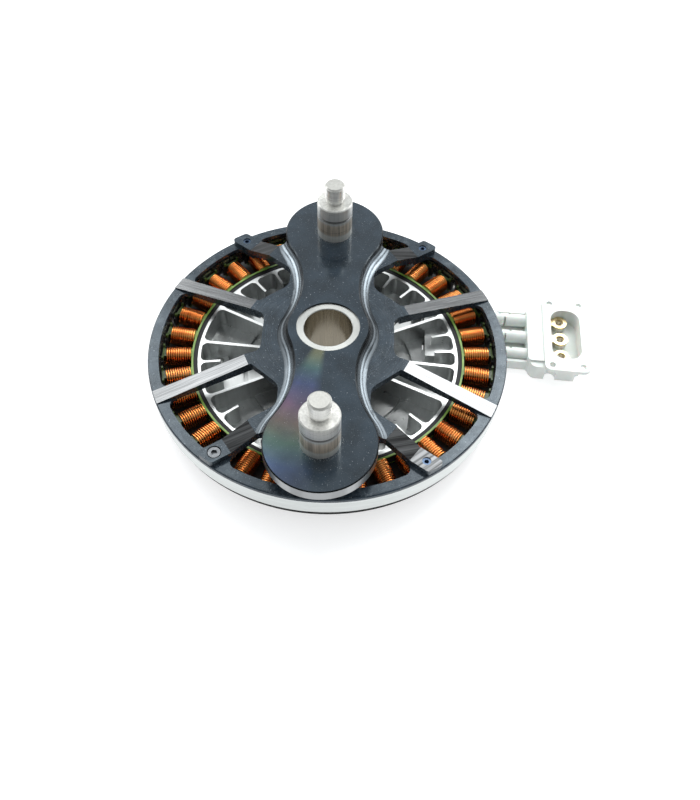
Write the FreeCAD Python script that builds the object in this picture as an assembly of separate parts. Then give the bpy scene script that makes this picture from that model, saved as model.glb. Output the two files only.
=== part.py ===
"""Flat outrunner motor for a folding-blade carrier, built as separate pieces.

Frame: millimetres, +Z up, origin on the motor axis in the plane that the base
stands on. The blade carrier lies along Y and the phase connector towards +X.
"""
import FreeCAD, Part
import math
import os
from FreeCAD import Vector

os.makedirs("parts", exist_ok=True)
UP = Vector(0, 0, 1)

# ---- driving dimensions -------------------------------------------------
ROTOR_R = 86.0            # outside of the black bell ring
RIM_TOP = 24.0            # top face of that ring above the base
RIM_THICK = 2.0
RIM_INNER_R = 80.9
FLUX_BOTTOM = 12.5        # lower edge of the steel flux ring
FLUX_INNER_R = 83.8
MAGNET_THICK = 2.6
AIR_GAP = 0.6             # between the magnets and the stator
WEB_TOP = RIM_TOP + 7.6   # plate in the middle of the bell
WEB_THICK = 3.4
BAR_TOP = WEB_TOP + 5.7   # raised blade bar
BAR_FOOT_R = 4.8          # round between the bar and the web
PIN_OFFSET = 65.0         # blade pin axis from the motor axis
LOBE_R = 25.0
BULGE_R = 19.5            # the bar where it goes round the shaft
NECK_R = 47.5             # hollow side of the bar between bulge and lobe
SHAFT_R = 15.0
SHAFT_BORE_R = 11.5
SLOTS = 36
MAGNETS = 42
STACK_LOW, STACK_HIGH = 12.3, 17.5
COIL_IN, COIL_OUT = 66.4, 79.3
YOKE_R = 66.1             # outside of the core's inner ring
TOOTH_HALF = 2.2
FIRST_SLOT = 3.0          # angle of the tooth nearest +X
COVER_R = 84.4            # dark plate under the windings
COVER_TOP = STACK_LOW - 2.6

# stator carrier
CARRIER_R = 63.3
CARRIER_TOP = RIM_TOP - 6.7
HUB_R = 26.0
RIM_WALL = 1.4
RIB_THICK, STUB_THICK = 1.5, 1.2
POCKET_R = 2.6            # corners between the ribs and the rim
FLOOR_LOW, FLOOR_TOP = 3.2, 6.0
GROOVE_IN, GROOVE_OUT = 40.0, 42.3   # turned groove in the pocket floors
LONG_RIBS = (-25, -5, 26, 72, 108, 154, 176, 208, 252, 288)
STUB_RIBS = (4, 14.5, 37, 48, 60, 120, 131, 142, 188, 198, 220, 231, 309, 319)
RECESS_X = 50.5           # flat wall that the leads come out of
RECESS_Y = (8.0, 44.0)
RECESS_TOP = 9.6
MOUNT_HOLES_R = 54.0
MOUNT_HOLE_ANGLES = (-60, 0, 60, 120, 180, 240)

# the 6806 bearings: 30 x 42 x 7
BEARING_R = 21.0
BEARING_WIDTH = 7.0
BALL_CIRCLE_R = 18.0
BALL_R = 1.9
GROOVE_R = BALL_R + 0.08
BALLS = 13
LOWER_BEARING = 3.0
UPPER_BEARING = 18.5

# blade pins
COLLAR_R, COLLAR_TALL = 8.8, 20.0
STUD_R, STUD_TALL = 5.0, 10.0
NUT_RELIEF_R = 9.2        # room for the pin's nut under the lobe

# spokes and their bosses
PLAIN_ANGLE = 25.0
PLAIN_INNER_R = 41.0
BOSS_ANGLE = 55.0
BOSS_R = 80.5
BOSS_TOP = RIM_TOP + 3.0
SCREW_SPOKE_TURN = 35.0   # direction of the spoke that passes under each screw
SCREW_SPOKE_HALF = 4.25
WINDOW_R = 4.0            # corners between the ring and the spokes

# leads and connector
LEAD_R = 2.2
LEAD_Z = 5.5
LEAD_PITCH = 11.4
BOOT_R = 3.3
BOOT_START, BOOT_END = -37.0, -19.5
BOOT_ROWS = [0.4 + k * LEAD_PITCH for k in (-1, 0, 1)]
CONNECTOR_AT = (120.2, 23.9)
CONNECTOR_TURN = -3.3
FLANGE_TOP = 11.0
EYE_U = -2.0              # centre line of the three contacts


# ---- small helpers ------------------------------------------------------
def cylinder(radius, low, high, x=0.0, y=0.0):
    return Part.makeCylinder(radius, high - low, Vector(x, y, low), UP)


def ring(inner, outer, low, high):
    return cylinder(outer, low, high).cut(cylinder(inner, low - 1, high + 1))


def box(x0, x1, y0, y1, z0, z1):
    return Part.makeBox(x1 - x0, y1 - y0, z1 - z0, Vector(x0, y0, z0))


def prism(points, low, high):
    """Upright prism on a plan outline of (x, y) corners."""
    corners = [Vector(x, y, low) for x, y in points]
    face = Part.Face(Part.makePolygon(corners + corners[:1]))
    return face.extrude(Vector(0, 0, high - low))


def turned(profile):
    """Solid of revolution about Z from (radius, height) corners."""
    corners = [Vector(r, 0, z) for r, z in profile]
    face = Part.Face(Part.makePolygon(corners + corners[:1]))
    return face.revolve(Vector(0, 0, 0), UP, 360)


def about_z(shape, degrees):
    copy = shape.copy()
    copy.rotate(Vector(0, 0, 0), UP, degrees)
    return copy


def mirrored_four(shape):
    """The shape in all four quadrants of the bell."""
    in_x = shape.mirror(Vector(0, 0, 0), Vector(1, 0, 0))
    pair = [shape, in_x]
    return pair + [s.mirror(Vector(0, 0, 0), Vector(0, 1, 0)) for s in pair]


def fused(shapes):
    return shapes[0].multiFuse(shapes[1:]).removeSplitter()


def upright_edges_near(shape, spots, reach=0.2):
    """Vertical edges of a prism that stand on one of the given (x, y) spots."""
    found = []
    for edge in shape.Edges:
        a, b = (v.Point for v in (edge.Vertexes[0], edge.Vertexes[-1]))
        if math.hypot(a.x - b.x, a.y - b.y) > 1e-6:
            continue
        if any(math.hypot(a.x - x, a.y - y) < reach for x, y in spots):
            found.append(edge)
    return found


def edges_at_height(shape, z):
    return [e for e in shape.Edges if abs(e.BoundBox.ZMin - z) < 1e-4 and abs(e.BoundBox.ZMax - z) < 1e-4]


def hexagon(across_flats, low, high, x=0.0, y=0.0):
    reach = across_flats / math.sqrt(3)
    corners = [(x + reach * math.cos(math.radians(60 * k)), y + reach * math.sin(math.radians(60 * k)))
               for k in range(6)]
    return prism(corners, low, high)


def save(name, shape):
    solids = shape.Solids
    if not shape.isValid() or not solids:
        raise RuntimeError(name + " is not a valid solid")
    shape.exportStep("parts/" + name + ".step")
    print("%-20s solids %3d  volume %10.1f" % (name, len(solids), sum(s.Volume for s in solids)))


# ---- rotor bell ---------------------------------------------------------
def bar_outline():
    """Hourglass bar: bulge round the shaft, two hollow necks, a lobe at each end."""
    to_bulge = BULGE_R + NECK_R
    to_lobe = LOBE_R + NECK_R
    neck_y = (to_bulge ** 2 - to_lobe ** 2 + PIN_OFFSET ** 2) / (2 * PIN_OFFSET)
    neck_x = math.sqrt(to_bulge ** 2 - neck_y ** 2)
    on_bulge = Vector(neck_x, neck_y, 0) * (BULGE_R / to_bulge)
    on_lobe = Vector(0, PIN_OFFSET, 0) + Vector(neck_x, neck_y - PIN_OFFSET, 0) * (LOBE_R / to_lobe)
    waist = Vector(neck_x - NECK_R, neck_y, 0)
    tip = Vector(0, PIN_OFFSET + LOBE_R, 0)

    def flip(point, in_x, in_y):
        return Vector(point.x * in_x, point.y * in_y, 0)

    arcs = [
        (flip(on_bulge, 1, -1), Vector(BULGE_R, 0, 0), on_bulge),
        (on_bulge, waist, on_lobe),
        (on_lobe, tip, flip(on_lobe, -1, 1)),
        (flip(on_lobe, -1, 1), flip(waist, -1, 1), flip(on_bulge, -1, 1)),
        (flip(on_bulge, -1, 1), Vector(-BULGE_R, 0, 0), flip(on_bulge, -1, -1)),
        (flip(on_bulge, -1, -1), flip(waist, -1, -1), flip(on_lobe, -1, -1)),
        (flip(on_lobe, -1, -1), flip(tip, 1, -1), flip(on_lobe, 1, -1)),
        (flip(on_lobe, 1, -1), flip(waist, 1, -1), flip(on_bulge, 1, -1)),
    ]
    return Part.Wire([Part.Arc(a, b, c).toShape() for a, b, c in arcs])


def web_plan(low, high):
    """Prism on the plan of the central web, whose scalloped edge is the inner end of every window."""
    quarter = [(31.3, 11.4), (38.5, 14.4), (35.8, 20.2), (34.6, 19.9), (21.0, 31.0), (21.0, 42.5),
               (33.0, 51.4), (28.2, 58.6), (24.0, 58.6)]
    outline = quarter
    outline = outline + [(-x, y) for x, y in reversed(quarter)]
    outline = outline + [(-x, -y) for x, y in quarter]
    outline = outline + [(x, -y) for x, y in reversed(quarter)]
    plate = prism(outline, low, high)
    for (x, y), radius in (((31.3, 11.4), 5.0), ((21.0, 31.0), 7.0), ((21.0, 42.5), 6.0)):
        corners = [(x, y), (-x, y), (-x, -y), (x, -y)]
        plate = plate.makeFillet(radius, upright_edges_near(plate, corners))
    return plate


def web_and_bar():
    """The bar rises from the web with a round foot; past the web its lobes stand free."""
    bar = Part.Face(bar_outline()).extrude(Vector(0, 0, BAR_TOP - WEB_TOP))
    bar.translate(Vector(0, 0, WEB_TOP))
    sheet = box(-60, 60, -110, 110, WEB_TOP - WEB_THICK, WEB_TOP).fuse(bar)
    on_bar = [e for e in edges_at_height(sheet, WEB_TOP) if isinstance(e.Curve, Part.Circle)]
    footed = sheet.makeFillet(BAR_FOOT_R, on_bar)
    return footed.common(web_plan(WEB_TOP - WEB_THICK, BAR_TOP)).fuse(bar)


def sloping_bar(start, direction, length, half_widths, tops, bottoms):
    """Bar on the plan line from start, with tapering width and straight sloping top and bottom."""
    angle = math.radians(direction)
    ahead = Vector(math.cos(angle), math.sin(angle), 0)
    aside = Vector(-math.sin(angle), math.cos(angle), 0)
    base = Vector(start[0], start[1], 0)
    sections = []
    for along, half, top, bottom in zip((0, length), half_widths, tops, bottoms):
        at = base + ahead * along
        corners = [at + aside * (side * half) + UP * z for side, z in
                   ((-1, bottom), (1, bottom), (1, top), (-1, top))]
        sections.append(Part.makePolygon(corners + corners[:1]))
    return Part.makeLoft(sections, True, True)


def plain_spoke():
    angle = math.radians(PLAIN_ANGLE)
    start = (36.0 * math.cos(angle), 36.0 * math.sin(angle))
    inner = sloping_bar(start, PLAIN_ANGLE, PLAIN_INNER_R - 36.0, (3.0, 3.1), (WEB_TOP, WEB_TOP),
                        (WEB_TOP - 5.0, WEB_TOP - 5.2))
    start = (PLAIN_INNER_R * math.cos(angle), PLAIN_INNER_R * math.sin(angle))
    ramp = sloping_bar(start, PLAIN_ANGLE, ROTOR_R - PLAIN_INNER_R + 1, (3.1, 3.8),
                       (WEB_TOP - 0.2, RIM_TOP + 0.3), (WEB_TOP - 5.2, RIM_TOP - 2.0))
    return [inner, ramp]


def along_screw_spoke(length):
    """Plan point on the middle line of the screw spoke, so far outwards from the screw."""
    spot, turn = math.radians(BOSS_ANGLE), math.radians(SCREW_SPOKE_TURN)
    return (BOSS_R * math.cos(spot) + length * math.cos(turn), BOSS_R * math.sin(spot) + length * math.sin(turn))


def screw_spoke_run(start, end, tops, bottoms):
    return sloping_bar(along_screw_spoke(start), SCREW_SPOKE_TURN, end - start,
                       (SCREW_SPOKE_HALF, SCREW_SPOKE_HALF), tops, bottoms)


def screw_spoke():
    """Spoke that slopes down from the web to a level end on the ring, where its screw sits."""
    ramp = screw_spoke_run(-20.0, -6.0, (WEB_TOP, BOSS_TOP), (WEB_TOP - 4.4, BOSS_TOP - 4.0))
    level = screw_spoke_run(-6.0, 9.0, (BOSS_TOP, BOSS_TOP), (RIM_TOP - RIM_THICK, RIM_TOP - RIM_THICK))
    end_r = ROTOR_R - 0.3
    level = level.common(cylinder(end_r, 0, 60))
    corners = [e for e in level.Edges if e.BoundBox.ZLength > 4 and e.BoundBox.XLength < 1e-3
               and abs(math.hypot(e.BoundBox.XMin, e.BoundBox.YMin) - end_r) < 0.05]
    return [ramp, level.makeFillet(1.8, corners)]


def boss_spots():
    """Screw places in the order rear right, rear left, front left, front right."""
    return [(BOSS_R * math.cos(math.radians(a)), BOSS_R * math.sin(math.radians(a)))
            for a in (BOSS_ANGLE, 180 - BOSS_ANGLE, 180 + BOSS_ANGLE, 360 - BOSS_ANGLE)]


def rim_with_feet():
    """The bell's ring with the foot of every spoke, joined by round window corners."""
    low = RIM_TOP - RIM_THICK
    plain = about_z(box(76.0, 84.0, -3.7, 3.7, low, RIM_TOP), PLAIN_ANGLE)
    screw = screw_spoke_run(-8.0, 2.0, (RIM_TOP, RIM_TOP), (low, low))
    rim = fused([ring(RIM_INNER_R, ROTOR_R, low, RIM_TOP)] + mirrored_four(plain) + mirrored_four(screw))
    corners = [e for e in rim.Edges if e.BoundBox.ZLength > 1 and e.BoundBox.XLength < 1e-3
               and abs(math.hypot(e.BoundBox.XMin, e.BoundBox.YMin) - RIM_INNER_R) < 0.05]
    rim = rim.makeFillet(WINDOW_R, corners)
    return rim.makeChamfer(0.5, [e for e in edges_at_height(rim, RIM_TOP) if e.Length > 2 * math.pi * 84])


def rotor_bell():
    spokes = []
    for piece in plain_spoke() + screw_spoke():
        spokes += mirrored_four(piece)
    spokes = [s.common(cylinder(ROTOR_R - 0.3, 0, 60)) for s in spokes]
    boss = cylinder(16.8, UPPER_BEARING + BEARING_WIDTH, WEB_TOP)
    bell = fused([rim_with_feet(), web_and_bar(), boss] + spokes)
    bell = bell.makeChamfer(0.5, edges_at_height(bell, BAR_TOP))
    bell = bell.cut(cylinder(SHAFT_R, 0, 60))
    for side in (-1, 1):
        bell = bell.cut(cylinder(STUD_R, 20, 60, 0, side * PIN_OFFSET))
        bell = bell.cut(cylinder(NUT_RELIEF_R, 20, WEB_TOP, 0, side * PIN_OFFSET))
    for index, (x, y) in enumerate(boss_spots()):
        bell = bell.cut(cylinder(1.5 if index == 2 else 2.0, 20, 60, x, y))
        if index == 2:
            bell = bell.cut(cylinder(3.2, BOSS_TOP - 2.0, 60, x, y))
    return bell


def bell_cap_screw():
    x, y = boss_spots()[2]
    head = cylinder(2.75, BOSS_TOP - 2.0, BOSS_TOP - 0.2, x, y)
    shank = cylinder(1.5, RIM_TOP - 1.8, BOSS_TOP - 2.0, x, y)
    return head.fuse(shank).cut(hexagon(2.5, BOSS_TOP - 1.4, BOSS_TOP, x, y))


def bell_set_screws():
    screws = []
    for index in (0, 1, 3):
        x, y = boss_spots()[index]
        body = cylinder(2.0, RIM_TOP - 1.8, BOSS_TOP - 0.5, x, y)
        screws.append(body.cut(hexagon(2.0, BOSS_TOP - 2.2, BOSS_TOP, x, y)))
    return Part.makeCompound(screws)


# ---- rest of the rotor --------------------------------------------------
def flux_ring():
    tube = ring(FLUX_INNER_R, ROTOR_R - 0.4, FLUX_BOTTOM, RIM_TOP - RIM_THICK)
    outer = [e for e in edges_at_height(tube, FLUX_BOTTOM) if e.Length > 2 * math.pi * 85]
    return tube.makeChamfer(0.5, outer)


def magnets():
    pitch = 360.0 / MAGNETS
    blank = ring(FLUX_INNER_R - MAGNET_THICK, FLUX_INNER_R, FLUX_BOTTOM + 0.3, FLUX_BOTTOM + 7.8)
    half = math.radians(0.46 * pitch)
    wedge = prism([(0, 0), (100, -100 * math.tan(half)), (100, 100 * math.tan(half))], 0, 40)
    one = blank.common(wedge)
    return Part.makeCompound([about_z(one, k * pitch) for k in range(MAGNETS)])


def hollow_shaft():
    top = BAR_TOP - 0.8
    profile = [(SHAFT_BORE_R, 0.8), (SHAFT_R - 0.5, 0.8), (SHAFT_R, 1.3), (SHAFT_R, 2.0), (SHAFT_R - 0.8, 2.0),
               (SHAFT_R - 0.8, 3.0), (SHAFT_R, 3.0), (SHAFT_R, top), (SHAFT_BORE_R + 0.3, top),
               (SHAFT_BORE_R, top - 0.3)]
    return turned(profile)


def shaft_circlip():
    clip = ring(SHAFT_R - 0.8, SHAFT_R + 1.6, 2.0, 3.0)
    gap = box(0, 30, -2, 2, 0, 5)
    return clip.cut(gap)


def blade_pin(side):
    """Shouldered pin: shank in the lobe, grooved collar that a blade turns on, threaded stud with a neck."""
    foot = BAR_TOP
    top = foot + COLLAR_TALL
    profile = [(0, foot - 8.7), (STUD_R, foot - 8.7), (STUD_R, foot), (COLLAR_R, foot), (COLLAR_R, top - 7.6),
               (COLLAR_R - 0.6, top - 7.3), (COLLAR_R - 0.6, top - 6.7), (COLLAR_R, top - 6.4),
               (COLLAR_R, top - 0.5), (COLLAR_R - 0.5, top), (STUD_R - 0.9, top), (STUD_R - 0.9, top + 1.8),
               (STUD_R, top + 2.6), (STUD_R, top + STUD_TALL - 0.8), (STUD_R - 0.8, top + STUD_TALL),
               (0, top + STUD_TALL)]
    pin = turned(profile)
    pin.translate(Vector(0, side * PIN_OFFSET, 0))
    return pin


def pin_nuts():
    nuts = []
    for side in (-1, 1):
        nut = hexagon(15.0, BAR_TOP - 8.5, WEB_TOP, 0, side * PIN_OFFSET)
        nuts.append(nut.cut(cylinder(STUD_R, 20, 60, 0, side * PIN_OFFSET)))
    return Part.makeCompound(nuts)


# ---- bearings -----------------------------------------------------------
def ball_groove(low):
    return Part.makeTorus(BALL_CIRCLE_R, GROOVE_R, Vector(0, 0, low + BEARING_WIDTH / 2), UP)


def inner_race(low):
    return ring(SHAFT_R, BALL_CIRCLE_R - 1.1, low, low + BEARING_WIDTH).cut(ball_groove(low))


def outer_race(low):
    return ring(BALL_CIRCLE_R + 1.1, BEARING_R, low, low + BEARING_WIDTH).cut(ball_groove(low))


def balls(low):
    middle = low + BEARING_WIDTH / 2
    one = Part.makeSphere(BALL_R, Vector(BALL_CIRCLE_R, 0, middle))
    return [about_z(one, k * 360.0 / BALLS) for k in range(BALLS)]


def ball_cage(low):
    middle = low + BEARING_WIDTH / 2
    cage = ring(BALL_CIRCLE_R - 0.5, BALL_CIRCLE_R + 0.5, middle - 2.6, middle + 2.6)
    pocket = Part.makeCylinder(GROOVE_R, 4.0, Vector(BALL_CIRCLE_R - 2.0, 0, middle), Vector(1, 0, 0))
    for k in range(BALLS):
        cage = cage.cut(about_z(pocket, k * 360.0 / BALLS))
    return cage


# ---- stator -------------------------------------------------------------
def every_slot(shape):
    return [about_z(shape, FIRST_SLOT + k * 360.0 / SLOTS) for k in range(SLOTS)]


def stator_core():
    outer_r = FLUX_INNER_R - MAGNET_THICK - AIR_GAP
    yoke = ring(CARRIER_R, YOKE_R, STACK_LOW, STACK_HIGH)
    tooth = box(YOKE_R - 0.5, 79.9, -TOOTH_HALF, TOOTH_HALF, STACK_LOW, STACK_HIGH)
    shoe_half = math.radians(4.1)
    wedge = prism([(0, 0), (100, -100 * math.tan(shoe_half)), (100, 100 * math.tan(shoe_half))], 0, 40)
    shoe = ring(79.6, outer_r, STACK_LOW, STACK_HIGH).common(wedge)
    return fused([yoke] + every_slot(tooth) + every_slot(shoe))


def slot_insulation(low, high, tab_high):
    """Thin liner on one face of the stack: an inner ring, a strip on each tooth, two ears at each tip."""
    inner = ring(YOKE_R - 0.8, YOKE_R + 0.1, low, high)
    strip = box(YOKE_R - 0.4, 79.8, -TOOTH_HALF, TOOTH_HALF, low, high)
    cross = box(79.5, 80.3, -4.4, 4.4, low, high)
    ears = [box(79.5, 80.3, min(y, y + side), max(y, y + side), min(low, tab_high), max(high, tab_high))
            for y, side in ((-3.2, -1.2), (3.2, 1.2))]
    return fused([inner] + every_slot(fused([strip, cross] + ears)))


def coils():
    """One closed winding round each tooth."""
    outer = box(COIL_IN, COIL_OUT, -4.1, 4.1, 9.8, 19.6)
    along = [e for e in outer.Edges if e.BoundBox.XLength > 5]
    outer = outer.makeFillet(3.4, along)
    core = box(COIL_IN - 1, COIL_OUT + 1, -TOOTH_HALF - 0.05, TOOTH_HALF + 0.05, STACK_LOW - 0.55, STACK_HIGH + 0.55)
    return Part.makeCompound(every_slot(outer.cut(core)))


def radial_wall(inner, outer, thick, low, high, angle):
    return about_z(box(inner, outer, -thick / 2, thick / 2, low, high), angle)


def stator_carrier():
    lattice = [ring(CARRIER_R - RIM_WALL, CARRIER_R, 0, CARRIER_TOP)]
    for angle in LONG_RIBS:
        lattice.append(radial_wall(HUB_R - 0.5, CARRIER_R - 1, RIB_THICK, 0, CARRIER_TOP, angle))
    for angle in STUB_RIBS:
        lattice.append(radial_wall(52.4, CARRIER_R - 1, STUB_THICK, 0, CARRIER_TOP, angle))
    lattice = fused(lattice)
    corners = [e for e in lattice.Edges if e.BoundBox.ZLength > 10 and e.BoundBox.XLength < 1e-3
               and abs(math.hypot(e.BoundBox.XMin, e.BoundBox.YMin) - CARRIER_R + RIM_WALL) < 0.05]
    lattice = lattice.makeFillet(POCKET_R, corners)
    seat = ring(CARRIER_R - 1.0, CARRIER_R + 1.6, COVER_TOP, STACK_LOW)
    floor = ring(HUB_R - 1, CARRIER_R - 1, FLOOR_LOW, FLOOR_TOP)
    floor = floor.cut(ring(GROOVE_IN, GROOVE_OUT, FLOOR_TOP - 1.6, FLOOR_TOP + 1))
    hub = turned([(18.0, 0), (HUB_R, 0), (HUB_R, 25.0), (HUB_R - 0.8, 25.8), (BEARING_R, 25.8),
                  (BEARING_R, UPPER_BEARING), (19.4, UPPER_BEARING), (19.4, LOWER_BEARING + BEARING_WIDTH),
                  (BEARING_R, LOWER_BEARING + BEARING_WIDTH), (BEARING_R, LOWER_BEARING), (18.0, LOWER_BEARING)])
    pieces = [lattice, seat, floor, hub]
    for angle in MOUNT_HOLE_ANGLES:
        turn = math.radians(angle)
        pieces.append(cylinder(4.6, 0, 8.0, MOUNT_HOLES_R * math.cos(turn), MOUNT_HOLES_R * math.sin(turn)))
    body = fused(pieces)
    inside = cylinder(CARRIER_R - 1, 0, 40)
    recess = box(RECESS_X, 80, RECESS_Y[0], RECESS_Y[1], -1, RECESS_TOP)
    shroud = box(RECESS_X - 2.5, 70, RECESS_Y[0] - 2, RECESS_Y[1] + 2, 0, RECESS_TOP + 1.6).common(inside)
    body = body.fuse(shroud).cut(recess).removeSplitter()
    for angle in MOUNT_HOLE_ANGLES:
        turn = math.radians(angle)
        body = body.cut(cylinder(2.1, -1, 9, MOUNT_HOLES_R * math.cos(turn), MOUNT_HOLES_R * math.sin(turn)))
    for y in exit_rows():
        body = body.cut(Part.makeCylinder(3.2, 4.5, Vector(RECESS_X - 3.5, y, LEAD_Z), Vector(1, 0, 0)))
    return body


def winding_cover():
    """Thin dark plate under the windings, notched over the lead grommets."""
    plate = ring(CARRIER_R + 0.1, COVER_R, COVER_TOP - 0.7, COVER_TOP)
    return plate.cut(box(0, RECESS_X + 2.0, RECESS_Y[0], RECESS_Y[1], 0, COVER_TOP + 1))


def exit_rows():
    """Y of the three lead exits in the recess wall."""
    return [26.2 + k * (LEAD_PITCH - 2.4) for k in (-1, 0, 1)]


def lead_grommets():
    plugs = []
    for y in exit_rows():
        body = Part.makeCylinder(3.2, 2.5, Vector(RECESS_X - 2.5, y, LEAD_Z), Vector(1, 0, 0))
        collar = Part.makeCylinder(3.9, 1.6, Vector(RECESS_X, y, LEAD_Z), Vector(1, 0, 0))
        plugs.append(body.fuse(collar).removeSplitter())
    return Part.makeCompound(plugs)


# ---- connector ----------------------------------------------------------
def placed(shape):
    """From the connector's own axes (flange centre, u outwards, v sideways) to the motor frame."""
    copy = shape.copy()
    copy.rotate(Vector(0, 0, 0), UP, CONNECTOR_TURN)
    copy.translate(Vector(CONNECTOR_AT[0], CONNECTOR_AT[1], 0))
    return copy


def connector_point(u, v):
    turn = math.radians(CONNECTOR_TURN)
    return (CONNECTOR_AT[0] + u * math.cos(turn) - v * math.sin(turn),
            CONNECTOR_AT[1] + u * math.sin(turn) + v * math.cos(turn))


def rounded_block(u0, u1, v0, v1, z0, z1, radius):
    block = box(u0, u1, v0, v1, z0, z1)
    return block.makeFillet(radius, [e for e in block.Edges if e.BoundBox.ZLength > 1e-3 and e.BoundBox.XLength < 1e-3
                                     and e.BoundBox.YLength < 1e-3])


def connector_housing():
    flange = rounded_block(-11.4, 11.4, -24.0, 24.0, FLANGE_TOP - 2.0, FLANGE_TOP, 3.5)
    body = rounded_block(-18.5, 7.6, -21.5, 21.5, 0.0, FLANGE_TOP - 1.9, 4.0)
    shoulder = rounded_block(BOOT_END, -10.0, -18.0, 18.8, 0.0, FLANGE_TOP - 0.8, 2.0)
    tray = box(BOOT_START + 3, -17, -16.5, 18.0, 0.0, 1.6)
    cheeks = [box(BOOT_START + 3, -17, v, v + 1.5, 0.0, 6.0) for v in (-16.5, 16.5)]
    shell = fused([flange, body, shoulder, tray] + cheeks)
    well = rounded_block(-7.4, 7.4, -16.2, 16.2, 2.4, FLANGE_TOP + 1, 6.5)
    shell = shell.cut(well)
    for u in (-7.6, 7.6):
        for v in (-20.6, 20.6):
            shell = shell.cut(cylinder(1.5, -1, 20, u, v)).cut(cylinder(2.9, -1, FLANGE_TOP - 2.0, u, v))
    for v in BOOT_ROWS:
        tongue_way = box(-15.0, -6.0, v - 2.6, v + 2.6, LEAD_Z - 0.2, LEAD_Z + 1.2)
        shell = shell.cut(tongue_way)
    return placed(shell.removeSplitter())


def connector_boots():
    boots = []
    for v in BOOT_ROWS:
        tube = Part.makeCylinder(BOOT_R, BOOT_END - BOOT_START, Vector(BOOT_START, v, LEAD_Z), Vector(1, 0, 0))
        for k, u in enumerate((-33.5, -30.9, -28.3)):
            side = 1 if k % 2 == 0 else -1
            slit = box(u, u + 1.0, v + (0.9 if side > 0 else -4), v + (4 if side > 0 else -0.9), 0, 12)
            tube = tube.cut(slit)
        boots.append(placed(tube))
    return Part.makeCompound(boots)


def ring_terminals():
    eyes = []
    for v in BOOT_ROWS:
        low, high = LEAD_Z - 0.1, LEAD_Z + 1.0
        eye = cylinder(4.0, low, high, EYE_U, v).fuse(box(-14.0, EYE_U, v - 2.3, v + 2.3, low, high))
        eyes.append(placed(eye.cut(cylinder(2.2, 0, 20, EYE_U, v)).removeSplitter()))
    return Part.makeCompound(eyes)


def terminal_posts():
    posts = [placed(cylinder(3.6, 2.4, LEAD_Z - 0.1, EYE_U, v).cut(cylinder(1.7, 3.0, 20, EYE_U, v)))
             for v in BOOT_ROWS]
    return Part.makeCompound(posts)


# ---- phase leads --------------------------------------------------------
def lead_route(index):
    """Control points from the grommet face to the boot, bending gently to the boot's row."""
    x0, y0 = RECESS_X + 1.6, exit_rows()[index]
    boot_x, boot_y = connector_point(BOOT_START, BOOT_ROWS[index])
    near_x, near_y = connector_point(BOOT_START - 8.0, BOOT_ROWS[index])
    return [(x0, y0), (x0 + 9.0, y0), (near_x, near_y), (boot_x, boot_y)]


def lead(index):
    route = [Vector(x, y, LEAD_Z) for x, y in lead_route(index)]
    edges = []
    last = route[0]
    for before, corner, after in zip(route, route[1:], route[2:]):
        to_before, to_after = before - corner, after - corner
        turn = math.pi - to_before.getAngle(to_after)
        shorter = min(to_before.Length, to_after.Length)
        radius = 0.45 * shorter / math.tan(turn / 2)
        reach = 0.45 * shorter
        arc_in = corner + to_before.normalize() * reach
        arc_out = corner + to_after.normalize() * reach
        inward = (to_before + to_after).normalize()
        middle = corner + inward * (radius / math.cos(turn / 2) - radius)
        edges.append(Part.LineSegment(last, arc_in).toShape())
        edges.append(Part.Arc(arc_in, middle, arc_out).toShape())
        print("lead", index, "turn %.1f deg, radius %.1f mm" % (math.degrees(turn), radius))
        last = arc_out
    edges.append(Part.LineSegment(last, route[-1]).toShape())
    path = Part.Wire(edges)
    start = (route[1] - route[0]).normalize()
    section = Part.Wire([Part.makeCircle(LEAD_R, route[0], start)])
    tube = path.makePipeShell([section], True, True)
    print("lead", index, "length %.2f, volume error %.4f" %
          (path.Length, tube.Volume / (math.pi * LEAD_R ** 2 * path.Length) - 1))
    return tube


# ---- write every piece --------------------------------------------------
save("rotor_bell", rotor_bell())
save("bell_cap_screw", bell_cap_screw())
save("bell_set_screws", bell_set_screws())
save("flux_ring", flux_ring())
save("magnets", magnets())
save("hollow_shaft", hollow_shaft())
save("shaft_circlip", shaft_circlip())
save("blade_pin_front", blade_pin(-1))
save("blade_pin_rear", blade_pin(1))
save("pin_nuts", pin_nuts())
for place, low in (("lower", LOWER_BEARING), ("upper", UPPER_BEARING)):
    save("inner_race_" + place, inner_race(low))
    save("outer_race_" + place, outer_race(low))
    save("bearing_balls_" + place, Part.makeCompound(balls(low)))
    save("ball_cage_" + place, ball_cage(low))
save("stator_core", stator_core())
save("insulation_top", slot_insulation(STACK_HIGH, STACK_HIGH + 0.5, STACK_HIGH + 1.8))
save("insulation_bottom", slot_insulation(STACK_LOW - 0.5, STACK_LOW, STACK_LOW - 1.8))
save("coils", coils())
save("stator_carrier", stator_carrier())
save("winding_cover", winding_cover())
save("lead_grommets", lead_grommets())
save("connector_housing", connector_housing())
save("connector_boots", connector_boots())
save("ring_terminals", ring_terminals())
save("terminal_posts", terminal_posts())
for index, name in enumerate(("lead_front", "lead_middle", "lead_rear")):
    save(name, lead(index))
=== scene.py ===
"""Looks of a flat outrunner motor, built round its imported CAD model.

Units are metres, in the CAD frame: +Z up the motor axis, the blade bar along Y,
the phase connector towards +X. The origin is in the plane the motor stands on.
"""
import math
import random

import bmesh
import bpy
from mathutils import Matrix, Vector


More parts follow.
